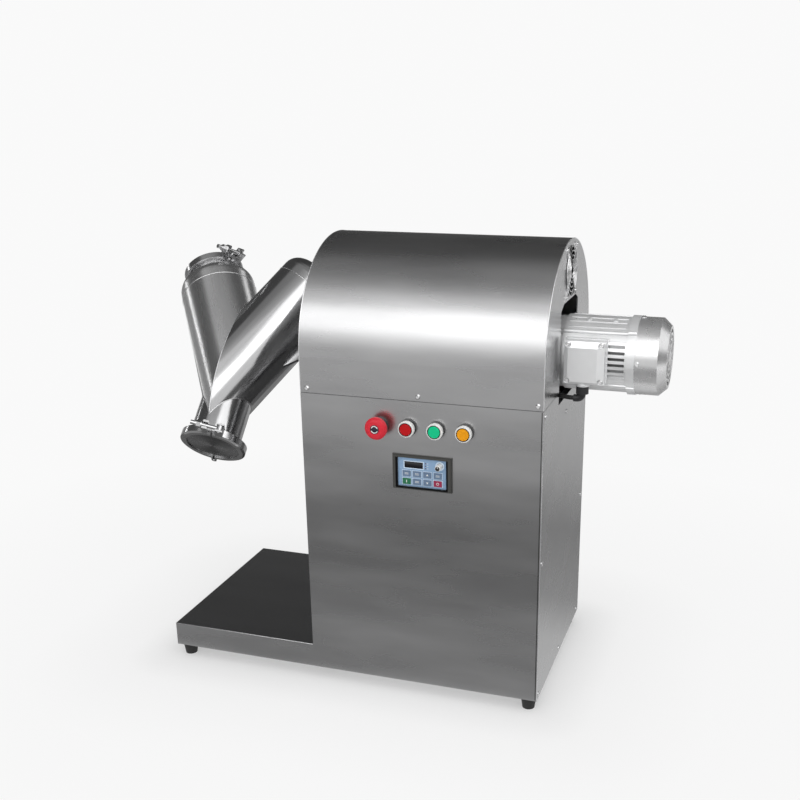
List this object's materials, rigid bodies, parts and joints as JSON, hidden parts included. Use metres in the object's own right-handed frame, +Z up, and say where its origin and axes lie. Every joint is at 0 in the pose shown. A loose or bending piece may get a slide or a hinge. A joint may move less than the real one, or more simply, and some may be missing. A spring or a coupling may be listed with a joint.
{
  "type": "v blender",
  "caption": "Tabletop V blender: polished twin-arm vessel with clamped lid and spout, turned on an overhung shaft by a geared motor in a round-topped steel cabinet with push buttons.",
  "frame": {"origin": "middle of the machine's outline, on the floor", "axes": "+X along the drive shaft towards the motor, +Y to the back, +Z up; the controls face -Y"},
  "size_m": [0.9969, 0.4394, 0.838],
  "materials": {
    "steel_sheet": "fine horizontal brushing",
    "polished": "polished stainless steel",
    "frame_paint": "satin",
    "bare_steel": "turned",
    "cast": "painted casting",
    "motor": "silver paint on a die casting",
    "rubber": "matt",
    "black_plastic": "satin",
    "grey_plastic": "satin",
    "white_plastic": "gloss",
    "face_film": "satin film",
    "red_plastic": "gloss",
    "green_plastic": "gloss",
    "orange_plastic": "gloss",
    "silicone": "satin silicone"
  },
  "bodies": {
    "cabinet": {"frame": "frame_paint", "base_sheet": "steel_sheet", "floor_plates": "steel_sheet", "front_panel": "steel_sheet", "back_panel": "steel_sheet", "right_panel": "steel_sheet", "deck": "frame_paint", "hood": "steel_sheet", "hood_end": "steel_sheet", "feet": "rubber", "panel_screws": "bare_steel", "bearing_housings": "cast", "deck_bolts": "bare_steel", "gear_housing": "cast", "motor_shields": "motor", "motor_body": "motor", "fan_cowl": "motor", "terminal_box": "motor", "terminal_lid": "motor", "small_screws": "bare_steel", "cable_glands": "black_plastic", "motor_cable": "rubber", "fan_frame": "black_plastic", "fan_guard": "polished", "button_bezels": "white_plastic", "stop_collar": "black_plastic", "contact_blocks": "grey_plastic", "keypad_frame": "black_plastic", "keypad_face": "face_film", "drive_body": "grey_plastic"},
    "vessel": {"arm_left": "polished", "arm_right": "polished", "spout": "polished", "hub": "polished", "main_shaft": "bare_steel", "bearing_rings": "bare_steel", "shaft_coupling": "cast", "gear_shaft": "bare_steel", "lids": "polished", "gaskets": "silicone", "clamps": "polished", "clamp_pins": "polished"},
    "arm_swing_bolt": {"bolt_arm": "polished"},
    "spout_swing_bolt": {"bolt_spout": "polished"},
    "motor_rotor": {"motor_fan": "black_plastic"},
    "cooling_rotor": {"fan_rotor": "black_plastic"},
    "stop_plunger": {"stop_stem": "black_plastic"},
    "stop_mushroom": {"stop_head": "red_plastic"},
    "red_button": {"cap_red": "red_plastic"},
    "green_button": {"cap_green": "green_plastic"},
    "orange_button": {"cap_orange": "orange_plastic"},
    "speed_knob": {"knob": "white_plastic"},
    "keypad_key_1": {"key_1": "grey_plastic"},
    "keypad_key_2": {"key_2": "grey_plastic"},
    "keypad_key_3": {"key_3": "grey_plastic"},
    "keypad_key_4": {"key_4": "grey_plastic"},
    "keypad_key_5": {"key_5": "green_plastic"},
    "keypad_key_6": {"key_6": "grey_plastic"},
    "keypad_key_7": {"key_7": "grey_plastic"},
    "keypad_key_8": {"key_8": "red_plastic"}
  },
  "joints": [
    {"name": "vessel_spin", "type": "hinge", "parent": "cabinet", "child": "vessel", "pos_m": [-0.32174, 0.01606, 0.6375], "axis": [1, 0, 0], "continuous": true},
    {"name": "arm_bolt_swing", "type": "hinge", "parent": "vessel", "child": "arm_swing_bolt", "pos_m": [-0.38118, 0.1061, 0.7728], "axis": [-0.4772, 0.6127, 0.63], "range_deg": [0, 110]},
    {"name": "spout_bolt_swing", "type": "hinge", "parent": "vessel", "child": "spout_swing_bolt", "pos_m": [-0.2801, -0.20651, 0.50285], "axis": [0, 0.6972, 0.7169], "range_deg": [0, 110]},
    {"name": "motor_spin", "type": "hinge", "parent": "cabinet", "child": "motor_rotor", "pos_m": [0.44476, 0.01606, 0.6375], "axis": [1, 0, 0], "continuous": true},
    {"name": "cooling_fan_spin", "type": "hinge", "parent": "cabinet", "child": "cooling_rotor", "pos_m": [0.30726, 0.01606, 0.7815], "axis": [1, 0, 0], "continuous": true},
    {"name": "stop_push", "type": "slide", "parent": "cabinet", "child": "stop_plunger", "axis": [0, 1, 0], "range_m": [0, 0.004], "stiffness_N_per_m": 1500},
    {"name": "stop_twist", "type": "hinge", "parent": "stop_plunger", "child": "stop_mushroom", "pos_m": [0.02426, -0.19994, 0.529], "axis": [0, 1, 0], "range_deg": [0, 40], "stiffness_Nm_per_rad": 0.06},
    {"name": "orange_button_push", "type": "slide", "parent": "cabinet", "child": "orange_button", "axis": [0, 1, 0], "range_m": [0, 0.004], "stiffness_N_per_m": 500},
    {"name": "green_button_push", "type": "slide", "parent": "cabinet", "child": "green_button", "axis": [0, 1, 0], "range_m": [0, 0.004], "stiffness_N_per_m": 500},
    {"name": "red_button_push", "type": "slide", "parent": "cabinet", "child": "red_button", "axis": [0, 1, 0], "range_m": [0, 0.004], "stiffness_N_per_m": 500},
    {"name": "speed_knob_turn", "type": "hinge", "parent": "cabinet", "child": "speed_knob", "pos_m": [0.13526, -0.18994, 0.464], "axis": [0, 1, 0], "range_deg": [-150, 150]},
    {"name": "key_1_push", "type": "slide", "parent": "cabinet", "child": "keypad_key_1", "axis": [0, 1, 0], "range_m": [0, 0.0005], "stiffness_N_per_m": 2000},
    {"name": "key_2_push", "type": "slide", "parent": "cabinet", "child": "keypad_key_2", "axis": [0, 1, 0], "range_m": [0, 0.0005], "stiffness_N_per_m": 2000},
    {"name": "key_3_push", "type": "slide", "parent": "cabinet", "child": "keypad_key_3", "axis": [0, 1, 0], "range_m": [0, 0.0005], "stiffness_N_per_m": 2000},
    {"name": "key_4_push", "type": "slide", "parent": "cabinet", "child": "keypad_key_4", "axis": [0, 1, 0], "range_m": [0, 0.0005], "stiffness_N_per_m": 2000},
    {"name": "key_5_push", "type": "slide", "parent": "cabinet", "child": "keypad_key_5", "axis": [0, 1, 0], "range_m": [0, 0.0005], "stiffness_N_per_m": 2000},
    {"name": "key_6_push", "type": "slide", "parent": "cabinet", "child": "keypad_key_6", "axis": [0, 1, 0], "range_m": [0, 0.0005], "stiffness_N_per_m": 2000},
    {"name": "key_7_push", "type": "slide", "parent": "cabinet", "child": "keypad_key_7", "axis": [0, 1, 0], "range_m": [0, 0.0005], "stiffness_N_per_m": 2000},
    {"name": "key_8_push", "type": "slide", "parent": "cabinet", "child": "keypad_key_8", "axis": [0, 1, 0], "range_m": [0, 0.0005], "stiffness_N_per_m": 2000}
  ],
  "couplings": [
    {"joint": "motor_spin", "follows": "vessel_spin", "ratio": 56}
  ]
}
